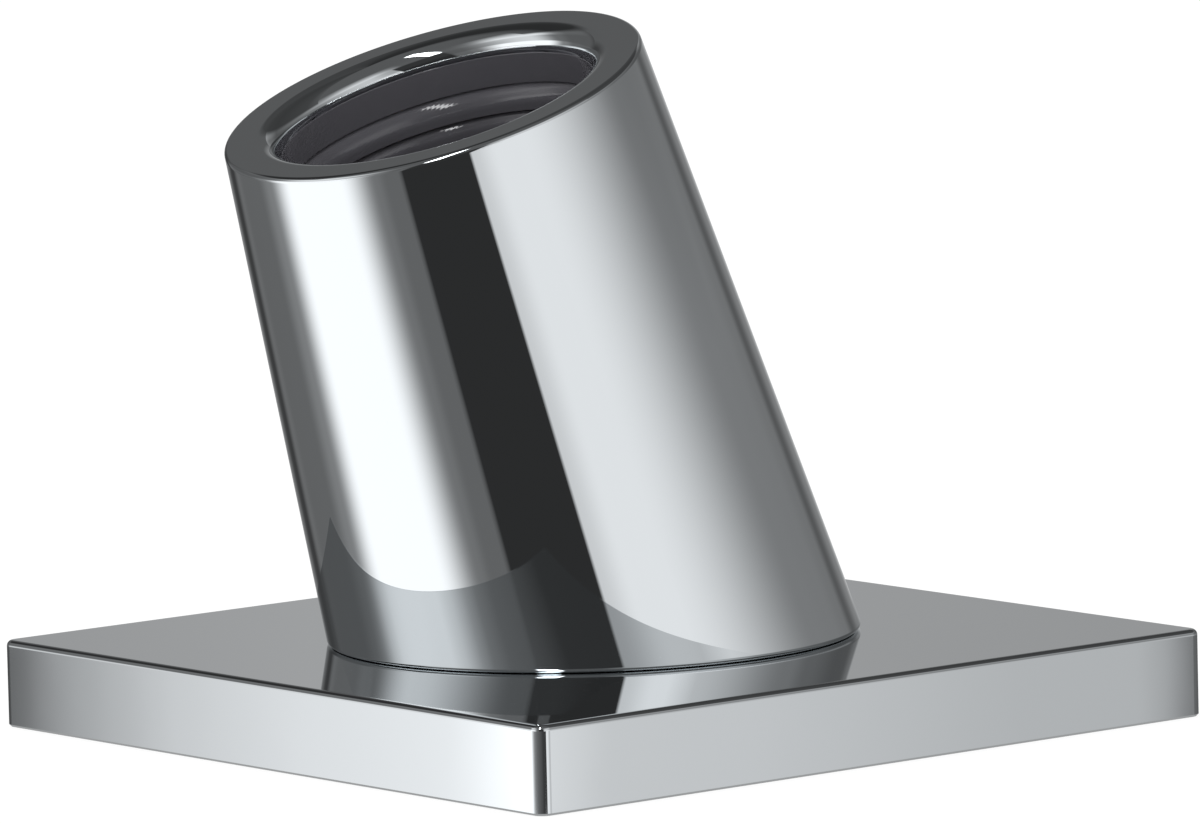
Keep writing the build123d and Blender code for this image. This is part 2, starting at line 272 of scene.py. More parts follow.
slice_room = with_close_card(with_close_card(slice_room, LEFT_SIDE_CARD), RIGHT_SIDE_CARD)
from_slice = sums(sky, "ABSOLUTE", sums(sky, "SUBTRACT", rise, SLICE_RISE))
room = mixed(sky, sums(sky, "LESS_THAN", from_slice, SLICE_HALF_HIGH), room, slice_room)
print("stops on the left and right card:", len(LEFT_SIDE_CARD), len(RIGHT_SIDE_CARD))

# %% [markdown]
# Higher than the cards everything fades into a dim ceiling. It comes down lower behind the object,
# and it is darkest there, so that the rims that look up and back have a crisp dark line.

# %% Ceiling
CEILING = 0.115
CEILING_BEGINS, CEILING_FULL = 25, 46
BEHIND, BEHIND_HALF_WIDE, BACK_BEGINS, BACK_FULL = 150, 20, 12, 22
FRONT, FRONT_HALF_WIDE, DARK_BACK_BEGINS, DARK_BACK_FULL = -40, 85, 31, 36
BACK_CEILING = [
    (-180, 0.03), (-152, 0.03), (-138, 0.08), (-122, CEILING), (40, CEILING), (60, 0.065),
    (110, 0.05), (128, 0.055), (138, 0.066), (152, 0.062), (168, 0.035), (180, 0.03),
]


def off_compass(middle_deg):
    """How far a direction lies from a compass angle, in radians."""
    return sums(sky, "ABSOLUTE", sums(sky, "SUBTRACT", compass, radians(middle_deg)))


behind = sums(sky, "LESS_THAN", off_compass(BEHIND), radians(BEHIND_HALF_WIDE))
low_at_back = sums(sky, "MULTIPLY", behind, rising(BACK_BEGINS, BACK_FULL))
ceiling_share = sums(sky, "MAXIMUM", rising(CEILING_BEGINS, CEILING_FULL), low_at_back)
room = mixed(sky, ceiling_share, room, (CEILING, CEILING, CEILING))
not_in_front = sums(sky, "GREATER_THAN", off_compass(FRONT), radians(FRONT_HALF_WIDE))
dark_back = sums(sky, "MULTIPLY", not_in_front, rising(DARK_BACK_BEGINS, DARK_BACK_FULL))
room = mixed(sky, dark_back, room, walk(BACK_CEILING))
print("ceiling", CEILING, "from", CEILING_FULL, "degrees up")

# %% [markdown]
# One tall soft box stands high beside the camera. It makes the small sparkles on the rims. It
# covers little of what a flat face sees, so it is far brighter than the cards. It is a patch in
# compass degrees and height with soft edges. The last node cools the whole studio by a hair.

# %% Lamp
LAMP_AROUND, LAMP_HALF_WIDE, LAMP_LOW, LAMP_HIGH, LAMP_STRENGTH = -56.0, 5.5, 28.5, 64.0, 9.0
LAMP_SOFT_ACROSS, LAMP_SOFT_UP = 1.5, 3
STUDIO_TINT = (0.99, 1.0, 1.012, 1)
inside = sums(sky, "SUBTRACT", radians(LAMP_HALF_WIDE), off_compass(LAMP_AROUND))
across_lamp = clamped(sums(sky, "MULTIPLY", inside, 1 / radians(LAMP_SOFT_ACROSS)))
above_foot = rising(LAMP_LOW, LAMP_LOW + LAMP_SOFT_UP)
above_head = rising(LAMP_HIGH - LAMP_SOFT_UP, LAMP_HIGH)
in_lamp = sums(sky, "MULTIPLY", across_lamp, sums(sky, "SUBTRACT", above_foot, above_head))
room = mixed(sky, in_lamp, room, (LAMP_STRENGTH, LAMP_STRENGTH, LAMP_STRENGTH))
around, up = radians(LAMP_AROUND), radians((LAMP_LOW + LAMP_HIGH) / 2)
lamp_way = Vector((cos(around) * cos(up), sin(around) * cos(up), sin(up)))
towards_lamp = new_node(sky, "ShaderNodeVectorMath", operation="DOT_PRODUCT")
towards_lamp.inputs[1].default_value = lamp_way
sky.links.new(looking, towards_lamp.inputs[0])
tint = new_node(sky, "ShaderNodeMix", data_type="RGBA", blend_type="MULTIPLY")
tint.inputs[0].default_value = 1.0
tint.inputs[7].default_value = STUDIO_TINT
sky.links.new(room, tint.inputs[6])
room = tint.outputs[2]
print("lamp", [round(v, 2) for v in lamp_way])

# %% [markdown]
# The camera itself should see a plain white background, so a Light Path node swaps the studio for
# white on rays that come straight from it. What falls on dull surfaces is the studio too, only
# without its sharp pattern, so a plain light stands in there: it is a little stronger from the
# lamp's side, which is what makes a matt washer look round, and on the whole a dull colour comes
# out about as bright as it is written.

# %% White for the camera, even light for dull surfaces
SHADE_SIDE, LAMP_SIDE = 0.62, 1.38
ray = new_node(sky, "ShaderNodeLightPath")
lit_share = sums(sky, "MULTIPLY_ADD", towards_lamp.outputs["Value"], 0.5, 0.5)
even = ramp_over(sky, lit_share, [(0, SHADE_SIDE), (1, LAMP_SIDE)])
room = mixed(sky, ray.outputs["Is Diffuse Ray"], room, even)
room = mixed(sky, ray.outputs["Is Camera Ray"], room, (1.0, 1.0, 1.0))
backdrop = new_node(sky, "ShaderNodeBackground")
sky.links.new(room, backdrop.inputs["Color"])
sky_out = new_node(sky, "ShaderNodeOutputWorld")
sky.links.new(backdrop.outputs[0], sky_out.inputs["Surface"])
bpy.context.scene.view_settings.view_transform = "Standard"
print("world nodes:", len(sky.nodes))

# %% [markdown]
# The deck that the plate lies on is a big pale sheet. It is not part of the object. It glows
# white for the camera and still takes the object's soft shadow, because a part of its colour is
# ordinary dull paint.

# %% Deck under the plate
DECK_HALF, DECK_HOLE_R, DECK_LOW, AROUND_HOLE = 6.0, 17.5 * MM, 0.03 * MM, 64
DECK_PAINT, DECK_GLOW, GLOW_SHARE = (0.85, 0.85, 0.85, 1), 1.06, 0.8


def sheet_of_deck(name, half, low):
    """A square sheet with a round hole for the tube, a little below the plate's foot."""
    bm = bmesh.new()
    inner, outer = [], []
    for i in range(AROUND_HOLE):
        x, y = cos(2 * pi * i / AROUND_HOLE), sin(2 * pi * i / AROUND_HOLE)
        reach = half / max(abs(x), abs(y))
        inner.append(bm.verts.new((DECK_HOLE_R * x, DECK_HOLE_R * y, 0)))
        outer.append(bm.verts.new((reach * x, reach * y, 0)))
    for i in range(AROUND_HOLE):
        j = (i + 1) % AROUND_HOLE
        bm.faces.new((inner[i], outer[i], outer[j], inner[j]))
    mesh = bpy.data.meshes.new(name)
    bm.to_mesh(mesh)
    bm.free()
    sheet = placed(name, mesh)
    sheet.location.z = -low
    return sheet


def bare_material(name):
    """A material without nodes, and its node tree."""
    material = bpy.data.materials.new(name)
    material.use_nodes = True
    material.node_tree.nodes.clear()
    return material, material.node_tree


def shown(tree, shader):
    """Makes one shader the look of its material."""
    out = new_node(tree, "ShaderNodeOutputMaterial")
    tree.links.new(shader.outputs[0], out.inputs["Surface"])


deck = sheet_of_deck("deck", DECK_HALF, DECK_LOW)
deck.visible_glossy = False
deck_paint, tree = bare_material("deck_paint")
dull = new_node(tree, "ShaderNodeBsdfDiffuse")
dull.inputs["Color"].default_value = DECK_PAINT
glow = new_node(tree, "ShaderNodeEmission")
glow.inputs["Strength"].default_value = DECK_GLOW
both = new_node(tree, "ShaderNodeMixShader")
from_camera = new_node(tree, "ShaderNodeLightPath").outputs["Is Camera Ray"]
tree.links.new(sums(tree, "MULTIPLY", from_camera, GLOW_SHARE), both.inputs[0])
tree.links.new(dull.outputs[0], both.inputs[1])
tree.links.new(glow.outputs[0], both.inputs[2])
shown(tree, both)
deck.data.materials.append(deck_paint)
print("deck", deck.dimensions)

# %% [markdown]
# Chrome doesn't mirror the big sheet, or it would flood the plate's sides with white. Only the
# plate's tiny lower chamfer should find it, or it would show the brass below the deck. So a small
# glowing grey patch under the plate stands in there, which only mirrors can see: it is no lamp, but a
# painted reflection of the deck in the chamfer.

# %% Patch of deck for the chamfer
# The patch's glow strength paints a grey reflection of the deck into the plate's lower chamfer.
PATCH_HALF, PATCH_LOW, PATCH_REFLECTION_GLOW = 35.4 * MM, 0.2 * MM, 0.4
patch = sheet_of_deck("deck_patch", PATCH_HALF, PATCH_LOW)
patch.visible_camera = False
patch.visible_diffuse = False
patch.visible_shadow = False
patch_painted_reflection, tree = bare_material("deck_patch_painted_reflection")
glow = new_node(tree, "ShaderNodeEmission")
glow.inputs["Strength"].default_value = PATCH_REFLECTION_GLOW
shown(tree, glow)
patch.data.materials.append(patch_painted_reflection)
print("patch", patch.dimensions)

# %% [markdown]
# Now the finishes. Every one is built from a few nodes over the piece's own metres, so a grain of
# half a millimetre is half a millimetre on every piece. The helpers give a new material with its
# main shader, a cloud of noise, a colour and a roughness that wander, turning marks and a bump.

# %% Helpers for the finishes
def new_material(name, metallic=0.0):
    material, tree = bare_material(name)
    shader = new_node(tree, "ShaderNodeBsdfPrincipled")
    shader.inputs["Metallic"].default_value = metallic
    shown(tree, shader)
    return material, tree, shader


def own_metres(tree, squeeze=(1, 1, 1)):
    """Where a point is on the piece, in metres. Squeeze makes a grain longer or shorter one way."""
    where = new_node(tree, "ShaderNodeTexCoord")
    size = new_node(tree, "ShaderNodeMapping")
    size.inputs["Scale"].default_value = squeeze
    tree.links.new(where.outputs["Object"], size.inputs["Vector"])
    return size.outputs[0]


def noise(tree, grain, detail=2.0, squeeze=(1, 1, 1)):
    """A cloud whose lumps are about that many millimetres across."""
    cloud = new_node(tree, "ShaderNodeTexNoise")
    cloud.inputs["Scale"].default_value = 1 / (grain * MM)
    cloud.inputs["Detail"].default_value = detail
    tree.links.new(own_metres(tree, squeeze), cloud.inputs["Vector"])
    return cloud.outputs["Fac"]


def cells(tree, across):
    """A pattern of cells that are about that many millimetres across."""
    pattern = new_node(tree, "ShaderNodeTexVoronoi")
    pattern.inputs["Scale"].default_value = 1 / (across * MM)
    tree.links.new(own_metres(tree), pattern.inputs["Vector"])
    return pattern


def coloured(tree, shader, share, a, b):
    """A colour that wanders between two."""
    tree.links.new(mixed(tree, share, a, b), shader.inputs["Base Color"])


def roughened(tree, shader, share, low, high):
    """A roughness that wanders between two."""
    node = new_node(tree, "ShaderNodeMapRange")
    node.inputs["To Min"].default_value = low
    node.inputs["To Max"].default_value = high
    tree.links.new(share, node.inputs["Value"])
    tree.links.new(node.outputs[0], shader.inputs["Roughness"])


def bump(tree, shader, height, depth):
    """Raises the surface by up to depth, in millimetres, where height is 1."""
    node = new_node(tree, "ShaderNodeBump")
    node.inputs["Strength"].default_value = 1.0
    node.inputs["Distance"].default_value = depth * MM
    tree.links.new(height, node.inputs["Height"])
    tree.links.new(node.outputs[0], shader.inputs["Normal"])


def turning_marks(tree, pitch, wander=0.12):
    """Fine rings round Z, as a lathe tool leaves them: one per pitch, in millimetres."""
    split = new_node(tree, "ShaderNodeSeparateXYZ")
    tree.links.new(own_metres(tree), split.inputs[0])
    x, y, z = split.outputs
    squares = sums(tree, "ADD", sums(tree, "MULTIPLY", x, x), sums(tree, "MULTIPLY", y, y))
    reach = sums(tree, "ADD", sums(tree, "SQRT", squares), z)
    strayed = sums(tree, "MULTIPLY", noise(tree, 3.0), 2 * pi * wander)
    turn = sums(tree, "MULTIPLY_ADD", reach, 2 * pi / (pitch * MM), strayed)
    return sums(tree, "MULTIPLY_ADD", sums(tree, "SINE", turn), 0.5, 0.5)


def dress(material, *names):
    """Puts one finish on CAD nodes."""
    for name in names:
        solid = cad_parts[name]
        solid.data.materials.clear()
        solid.data.materials.append(material)
    print(material.name, "on", ", ".join(names))


# %% [markdown]
# Polished chrome is a metal with almost no roughness. A perfect mirror looks false, so the
# roughness wanders by a hair from place to place, and the polishing wheel has left a very faint,
# long waviness that only shows where a straight edge is mirrored.

# %% Polished chrome
chrome, tree, shader = new_material("polished_chrome", metallic=1.0)
roughened(tree, shader, noise(tree, 14.0, 3.0), 0.008, 0.026)
coloured(tree, shader, noise(tree, 40.0), (0.768, 0.794, 0.808), (0.782, 0.806, 0.820))
bump(tree, shader, noise(tree, 9.0, 1.0), 0.0015)
print("chrome nodes:", len(tree.nodes))

# %% [markdown]
# The plate and the socket show long straight reflections, so any flat facet on them would be seen
# at once. They are drawn here again, much finer than the solids, and each point knows its exact
# slope. Such a mesh is a grid: columns round the piece and rows along the metal. These helpers
# ease the corners of a section with small arcs, as the polisher's wheel does, turn rows into a
# skin and seat the new piece on its body.

# %% Helpers for polished skins
COLUMNS = 240
UP, DOWN = Vector((0, 0, 1)), Vector((0, 0, -1))
NO_AREA = 1e-14


def eased(corners, step_deg=9):
    """A section's (radius, height, easing) corners as points with outward slopes."""
    places = [Vector((r, h)) for r, h, _ in corners]
    rows = []
    for i, (place, (_, _, easing)) in enumerate(zip(places, corners)):
        come = (place - places[i - 1]).normalized() if i else None
        go = (places[i + 1] - place).normalized() if i + 1 < len(places) else None
        if come is None or go is None:
            way = go or come
            rows.append((place, Vector((way.y, -way.x))))
            continue
        turn = atan2(come.x * go.y - come.y * go.x, come.dot(go))
        if easing == 0 or abs(turn) < 1e-6:
            rows += [(place, Vector((come.y, -come.x))), (place, Vector((go.y, -go.x)))]
            continue
        start = place - come * easing * tan(abs(turn) / 2)
        side = 1 if turn > 0 else -1
        middle = start + Vector((-come.y, come.x)) * easing * side
        steps = max(2, ceil(abs(degrees(turn)) / step_deg))
        for k in range(steps + 1):
            a = turn * k / steps
            spoke = start - middle
            spoke = Vector((spoke.x * cos(a) - spoke.y * sin(a), spoke.x * sin(a) + spoke.y * cos(a)))
            rows.append((middle + spoke, spoke * (side / easing)))
    return rows


def between(row, other, share):
    """A row part of the way from one row to another."""
    return [(a.lerp(b, share), sa.lerp(sb, share).normalized()) for (a, sa), (b, sb) in zip(row, other)]


def divided(rows, longest):
    """More rows on long straight stretches."""
    full = [rows[0]]
    for start, end in zip(rows, rows[1:]):
        parts = max(1, ceil((end[0] - start[0]).length / longest))
        full += [between([start], [end], k / parts)[0] for k in range(1, parts + 1)]
    return full


def seated(name, mesh, material, body, slot, *stands_for):
    """A finished mesh as a piece on its body, in place of a CAD node where one is named."""
    mesh.materials.append(material)
    piece = placed(name, mesh)
    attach(piece, body)
    if stands_for:
        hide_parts(*stands_for)
    print(name, len(mesh.polygons), "faces")
    return piece


def skin(name, strips, material, body, slot, *stands_for):
    """A piece from strips of rows. A row is a closed ring of (place in mm, slope)."""
    bm = bmesh.new()
    slopes = []
    for rows in strips:
        grid = [[bm.verts.new(place * MM) for place, _ in row] for row in rows]
        slopes += [tuple(slope) for row in rows for _, slope in row]
        for i, (low, high) in enumerate(zip(grid, grid[1:])):
            for j in range(len(low)):
                k = (j + 1) % len(low)
                corners = (low[j], low[k], high[k], high[j])
                flat = (low[k].co - low[j].co).cross(high[j].co - low[j].co)
                if flat.length < NO_AREA:
                    flat = (high[k].co - low[j].co).cross(high[j].co - low[j].co)
                bm.faces.new(corners if flat.dot(rows[i][j][1]) >= 0 else corners[::-1])
    mesh = bpy.data.meshes.new(name)
    bm.to_mesh(mesh)
    bm.free()
    mesh.shade_smooth()
    mesh.normals_split_custom_set_from_vertices(slopes)
    return seated(name, mesh, material, body, slot, *stands_for)


# %% [markdown]
# The cover plate is a slab of brass with its edges polished over. Its four sides and its top are
# true planes, so a few big faces are enough there, but the eased edges are what the eye reads:
# they are the thin dark line along the top. The outline is a square with small round corners, and
# the section climbs the side, turns over a radius of half a millimetre and goes in to the hole.
# Every ring has the same columns, also the round ones underneath, so they join without gaps.

# %% Cover plate
PLATE_HALF, PLATE_HIGH, CORNER_R = 35.0, 7.2, 1.1
EDGE_R, EDGE_STEPS, FOOT_CHAMFER = 0.5, 12, 0.2
RECESS_HALF, RECESS_CORNER_R, RECESS_DEEP = 31.0, 2.0, 1.5
SEAT_R, SEAT_HIGH, HOLE_R = 19.3, 3.8, 15.3


def rounded_square(half, corner_r, corner_steps=14, side_steps=8):
    """Points round a square with round corners, each with its outward way."""
    outline = []
    for quarter in range(4):
        turned = Matrix.Rotation(quarter * pi / 2, 3, "Z")
        for k in range(corner_steps + 1):
            a = pi / 2 * k / corner_steps
            way = Vector((cos(a), sin(a), 0))
            place = Vector((half - corner_r, half - corner_r, 0)) + way * corner_r
            outline.append((turned @ place, turned @ way))
        start, end = Vector((half - corner_r, half, 0)), Vector((corner_r - half, half, 0))
        for k in range(1, side_steps):
            outline.append((turned @ start.lerp(end, k / side_steps), turned @ Vector((0, 1, 0))))
    return outline


def square_ring(half, corner_r, height, tilt=0.0, facing=None):
    """A row round the plate. Tilt turns its slope from outwards towards up, and past up inwards."""
    row = []
    for place, way in rounded_square(half, corner_r):
        row.append((place + UP * height, facing if facing else way * cos(tilt) + UP * sin(tilt)))
    return row


def round_ring(radius, height, facing=None):
    """A row round a hole, in the same columns as the square ones."""
    row = []
    for place, _ in rounded_square(PLATE_HALF, CORNER_R):
        way = place.normalized()
        row.append((way * radius + UP * height, facing if facing else -way))
    return row


plate_side = [square_ring(PLATE_HALF, CORNER_R, FOOT_CHAMFER)]
for k in range(EDGE_STEPS + 1):
    tilt = pi / 2 * k / EDGE_STEPS
    inset, height = EDGE_R * (1 - cos(tilt)), PLATE_HIGH - EDGE_R + EDGE_R * sin(tilt)
    plate_side.append(square_ring(PLATE_HALF - inset, CORNER_R - inset, height, tilt))
top_edge = (PLATE_HALF - EDGE_R, CORNER_R - EDGE_R, PLATE_HIGH)
foot = (PLATE_HALF - FOOT_CHAMFER, CORNER_R - FOOT_CHAMFER, 0)
recess = (RECESS_HALF, RECESS_CORNER_R)
plate_strips = [
    plate_side,
    [square_ring(*top_edge, facing=UP), round_ring(HOLE_R, PLATE_HIGH, UP)],
    [square_ring(*foot, tilt=-pi / 4), square_ring(PLATE_HALF, CORNER_R, FOOT_CHAMFER, tilt=-pi / 4)],
    [square_ring(*foot, facing=DOWN), square_ring(*recess, 0, facing=DOWN)],
    [square_ring(*recess, 0, tilt=pi), square_ring(*recess, RECESS_DEEP, tilt=pi)],
    [square_ring(*recess, RECESS_DEEP, facing=DOWN), round_ring(SEAT_R, RECESS_DEEP, DOWN)],
    [round_ring(SEAT_R, RECESS_DEEP), round_ring(SEAT_R, SEAT_HIGH)],
    [round_ring(SEAT_R, SEAT_HIGH, DOWN), round_ring(HOLE_R, SEAT_HIGH, DOWN)],
    [round_ring(HOLE_R, SEAT_HIGH), round_ring(HOLE_R, PLATE_HIGH)],
]
skin("polished_plate", plate_strips, chrome, "outlet", "polished_chrome", "cover_plate")

# %% [markdown]
# The real socket is a brass bar turned to a taper, bored, cut off at a slant at its foot, polished
# and chromed. The foot is cut along the plate, so each column of the mesh has its own length. The
# wheel has broken the sharp edge there with a radius of about half a millimetre, and that little
# round is what holds the lamp's double sparkle above the seam. The lip inside the mouth is one
# large, soft round that ends straight above the dark bush.

# %% Leaning socket
LEAN = radians(18.33)
PIVOT_HIGH, SOCKET_LONG = 4.28, 48.3
MOUTH_R, TAPER, RIM_EASING, FOOT_EASING = 17.45, 0.0787, 0.45, 0.45
BUSH_SEAT_R, NECK_R, NECK_TOP = 14.23, 15.0, 16.2
LIP_DEEP, LIP_R, LIP_ROUND = 1.95, 13.12, 1.83
RIM_DEEP, TAPER_ROWS = 3.0, 30

lean_axis = Vector((0, -sin(LEAN), cos(LEAN)))
lean_back = Vector((0, cos(LEAN), sin(LEAN)))
foot_middle = Vector((0, -(PLATE_HIGH - PIVOT_HIGH) * tan(LEAN), PLATE_HIGH))
mouth_middle = foot_middle + lean_axis * SOCKET_LONG
outwards = []
for j in range(COLUMNS):
    a = 2 * pi * j / COLUMNS
    outwards.append(Vector((cos(a), 0, 0)) + lean_back * sin(a))


def leaning_ring(place, slope):
    """One row round the socket's axis. Height is measured from the mouth's face."""
    row = []
    for way in outwards:
        row.append((mouth_middle + lean_axis * place.y + way * place.x, way * slope.x + lean_axis * slope.y))
    return row


def foot_column(way, steps=8):
    """From under the foot, round its eased edge, to where the taper begins."""
    side = (way + lean_axis * TAPER).normalized()
    drop = (PLATE_HIGH - mouth_middle.z - MOUTH_R * way.z) / (lean_axis.z - TAPER * way.z)
    corner = mouth_middle + lean_axis * drop + way * (MOUTH_R - TAPER * drop)
    along_side = (UP - side * side.z).normalized()
    inwards = -(side - UP * side.z).normalized()
    half = acos(along_side.dot(inwards)) / 2
    middle = corner + (along_side + inwards).normalized() * FOOT_EASING / sin(half)
    places = []
    for k in range(steps + 1):
        slope = DOWN.slerp(side, k / steps) if k < steps else side
        places.append((middle + slope * FOOT_EASING, slope))
    return places


mouth_rows = eased([
    (MOUTH_R + TAPER * RIM_DEEP, -RIM_DEEP, 0),
    (MOUTH_R, 0, RIM_EASING),
    (LIP_R, 0, LIP_ROUND),
    (LIP_R, -LIP_DEEP, 0),
    (BUSH_SEAT_R, -LIP_DEEP, 0),
], step_deg=3)
rim_rows = [leaning_ring(*row) for row in mouth_rows]
foot_rows = [list(row) for row in zip(*[foot_column(way) for way in outwards])]
taper_rows = [between(foot_rows[-1], rim_rows[0], k / TAPER_ROWS) for k in range(1, TAPER_ROWS + 1)]
outside = foot_rows + taper_rows + rim_rows[1:]
print("lip radius", LIP_ROUND, "mm, rows at the mouth", len(mouth_rows))

# %% [markdown]
# Inside, the leaning seat of the bush comes down to a level roof, and from there an upright neck
# takes the tube's thread. Each corner is sharp, so each surface is a strip of its own, and the
# rings that two strips share are written twice, with two slopes. The neck opens out where the
# leaning seat is wider than it.

# %% Inside of the socket
seat_wall, seat_end, roof_start, neck_roof, neck_wall, neck_foot, foot_start = [], [], [], [], [], [], []
for way in outwards:
    start = mouth_middle - lean_axis * LIP_DEEP + way * BUSH_SEAT_R
    end = start - lean_axis * ((start.z - NECK_TOP) / lean_axis.z)
    flat = Vector((end.x, end.y, 0))
    rim = flat.normalized() * max(NECK_R, flat.length)
    inward = -flat.normalized()
    seat_wall.append((start, -way))
    seat_end.append((end, -way))
    roof_start.append((end, DOWN))
    neck_roof.append((rim + UP * NECK_TOP, DOWN))
    neck_wall.append((rim + UP * NECK_TOP, inward))
    neck_foot.append((rim + UP * PLATE_HIGH, inward))
    foot_start.append((rim + UP * PLATE_HIGH, DOWN))
socket_strips = [outside, [seat_wall, seat_end], [roof_start, neck_roof], [neck_wall, neck_foot]]
socket_strips.append([foot_start, foot_rows[0]])
skin("leaning_socket", socket_strips, chrome, "outlet", "polished_chrome", "outlet_body")

# %% [markdown]
# The guide bush is black acetal, turned smooth. Deep inside a bright mouth it isn't black: it
# mirrors the lit lip above it as blurred streaks. Its colour is painted a dark grey, lighter than the
# acetal's own near-black, as a painted reflection of that lit lip. Its gloss is high with little roughness,
# which gives the crisp glints on its two rounded rings, and the cutter has left rings on it that are too
# fine to count.

# %% Guide bush
bush_plastic, tree, shader = new_material("black_bush_plastic")
# This dark grey is a painted reflection of the lit lip, lighter than the black acetal itself.
coloured(tree, shader, noise(tree, 6.0, 3.0), (0.070, 0.068, 0.077), (0.088, 0.086, 0.096))
roughened(tree, shader, noise(tree, 2.0, 3.0), 0.07, 0.13)
shader.inputs["IOR"].default_value = 1.6
bump(tree, shader, turning_marks(tree, 0.35), 0.002)

BUSH_R, BUSH_OUT_R, COLLAR_R, BUSH_LONG = 12.5, 14.15, 13.08, 24.0
O_RING_TOP, O_RING_FOOT, O_RING_DEEP = 12.5, 14.1, 0.77
COLLAR_FOOT, COLLAR_GROOVE, FIRST_RING, FIRST_ROUND = 2.6, 0.3, 3.47, 1.8
RING_GROOVE, RING_GROOVE_DEEP, SECOND_RING, SECOND_ROUND = 4.8, 0.5, 5.37, 1.34
MOUTH_CHAMFER, LONGEST_FACE = 0.9, 4.0
top, low = -LIP_DEEP, -(LIP_DEEP + BUSH_LONG)
bush_rows = eased([
    (BUSH_OUT_R, low, 0.1),
    (BUSH_OUT_R, top - O_RING_FOOT, 0.08),
    (BUSH_OUT_R - O_RING_DEEP, top - O_RING_FOOT, 0.08),
    (BUSH_OUT_R - O_RING_DEEP, top - O_RING_TOP, 0.08),
    (BUSH_OUT_R, top - O_RING_TOP, 0.08),
    (BUSH_OUT_R, top, 0.1),
    (COLLAR_R, top, 0.1),
    (COLLAR_R, top - COLLAR_FOOT, 0.03),
    (COLLAR_R + COLLAR_GROOVE, top - COLLAR_FOOT - 0.1, 0.03),
    (COLLAR_R + 0.1, top - COLLAR_FOOT - 0.3, 0.03),
    (BUSH_R, top - FIRST_RING, FIRST_ROUND),
    (BUSH_R, top - RING_GROOVE, 0.03),
    (BUSH_R + RING_GROOVE_DEEP, top - RING_GROOVE - 0.06, 0.02),
    (BUSH_R + RING_GROOVE_DEEP, top - RING_GROOVE - 0.15, 0.02),
    (BUSH_R, top - SECOND_RING, SECOND_ROUND),
    (BUSH_R, low + MOUTH_CHAMFER, 0.3),
    (BUSH_R + MOUTH_CHAMFER, low, 0.1),
    (BUSH_OUT_R, low, 0),
])
bush_skin = [leaning_ring(*row) for row in divided(bush_rows, LONGEST_FACE)]
skin("guide_bush", [bush_skin], bush_plastic, "outlet", "black_bush_plastic", "mouth_bush")

# %% [markdown]
# Everything below the chrome is for the plumber and is hidden once the outlet sits on a bath, but
# the part may be turned over, so it gets the same care. The seals come first. An O-ring is
# moulded and lies squeezed in its groove: near black, a little dull, with a faint grain from the
# mould. The gasket and the deck washer are cellular rubber, so tiny cells show on their skin. The
# seal under the flange is pressed fibre, a brick red board with short threads in it.

# %% Rubber and fibre
seal_rubber, tree, shader = new_material("black_seal_rubber")
coloured(tree, shader, noise(tree, 1.5, 4.0), (0.021, 0.021, 0.022), (0.031, 0.031, 0.031))
roughened(tree, shader, noise(tree, 0.8, 3.0), 0.42, 0.62)
bump(tree, shader, noise(tree, 0.25, 2.0), 0.012)
dress(seal_rubber, "bush_o_ring", "foot_o_ring")

gasket_rubber, tree, shader = new_material("gasket_rubber")
pores = cells(tree, 0.45).outputs["Distance"]
coloured(tree, shader, pores, (0.062, 0.062, 0.064), (0.036, 0.036, 0.038))
roughened(tree, shader, noise(tree, 3.0, 3.0), 0.74, 0.92)
bump(tree, shader, pores, 0.05)
dress(gasket_rubber, "plate_gasket", "rubber_washer")

fibre, tree, shader = new_material("fibre_seal")
threads = noise(tree, 0.7, 4.0, squeeze=(1, 0.25, 1))
coloured(tree, shader, threads, (0.270, 0.070, 0.046), (0.395, 0.116, 0.078))
roughened(tree, shader, threads, 0.70, 0.90)
bump(tree, shader, threads, 0.03)
dress(fibre, "flange_seal")

# %% [markdown]
# Metals next. The tube and the nut are turned brass without plating: a warm metal whose colour
# wanders a little where it has begun to tarnish, with the rings of the lathe tool on it. The steel
# washer and the screws are zinc plated, bright and bluish with a fine crystal pattern. The snap
# ring and the two dowels are spring steel, darker, and drawn through a die, so they are smooth.

# %% Brass, zinc and spring steel
brass, tree, shader = new_material("turned_brass", metallic=1.0)
tarnish = noise(tree, 7.0, 4.0)
coloured(tree, shader, tarnish, (0.800, 0.625, 0.330), (0.690, 0.505, 0.235))
roughened(tree, shader, tarnish, 0.16, 0.36)
bump(tree, shader, turning_marks(tree, 0.22), 0.003)
dress(brass, "lock_nut")

zinc, tree, shader = new_material("zinc_steel", metallic=1.0)
facets = new_node(tree, "ShaderNodeSeparateColor")
tree.links.new(cells(tree, 0.9).outputs["Color"], facets.inputs[0])
coloured(tree, shader, facets.outputs[0], (0.560, 0.575, 0.590), (0.640, 0.645, 0.640))
roughened(tree, shader, facets.outputs[1], 0.24, 0.40)
bump(tree, shader, noise(tree, 0.5, 3.0), 0.004)
dress(zinc, "clamp_washer")

spring_steel, tree, shader = new_material("spring_steel", metallic=1.0)
oil = noise(tree, 2.5, 3.0)
coloured(tree, shader, oil, (0.315, 0.315, 0.325), (0.390, 0.388, 0.390))
roughened(tree, shader, oil, 0.18, 0.34)
bump(tree, shader, noise(tree, 0.3, 2.0, squeeze=(1, 1, 0.1)), 0.003)
dress(spring_steel, "bush_snap_ring", "locating_pins")

# %% [markdown]
# The sleeve that keeps the hose off the tube's end is pale acetal. Such a plastic is smooth but not
# glossy, and lets light in a little way, so its edges look soft.

# %% Pale plastic of the hose guide
pale_plastic, tree, shader = new_material("pale_guide_plastic")
coloured(tree, shader, noise(tree, 8.0, 3.0), (0.785, 0.775, 0.735), (0.815, 0.805, 0.768))
roughened(tree, shader, noise(tree, 1.2, 3.0), 0.30, 0.46)
shader.inputs["Subsurface Weight"].default_value = 0.15
shader.inputs["Subsurface Radius"].default_value = (1.0, 0.9, 0.8)
shader.inputs["Subsurface Scale"].default_value = 0.6 * MM
bump(tree, shader, noise(tree, 0.6, 2.0), 0.004)
dress(pale_plastic, "lower_hose_guide")

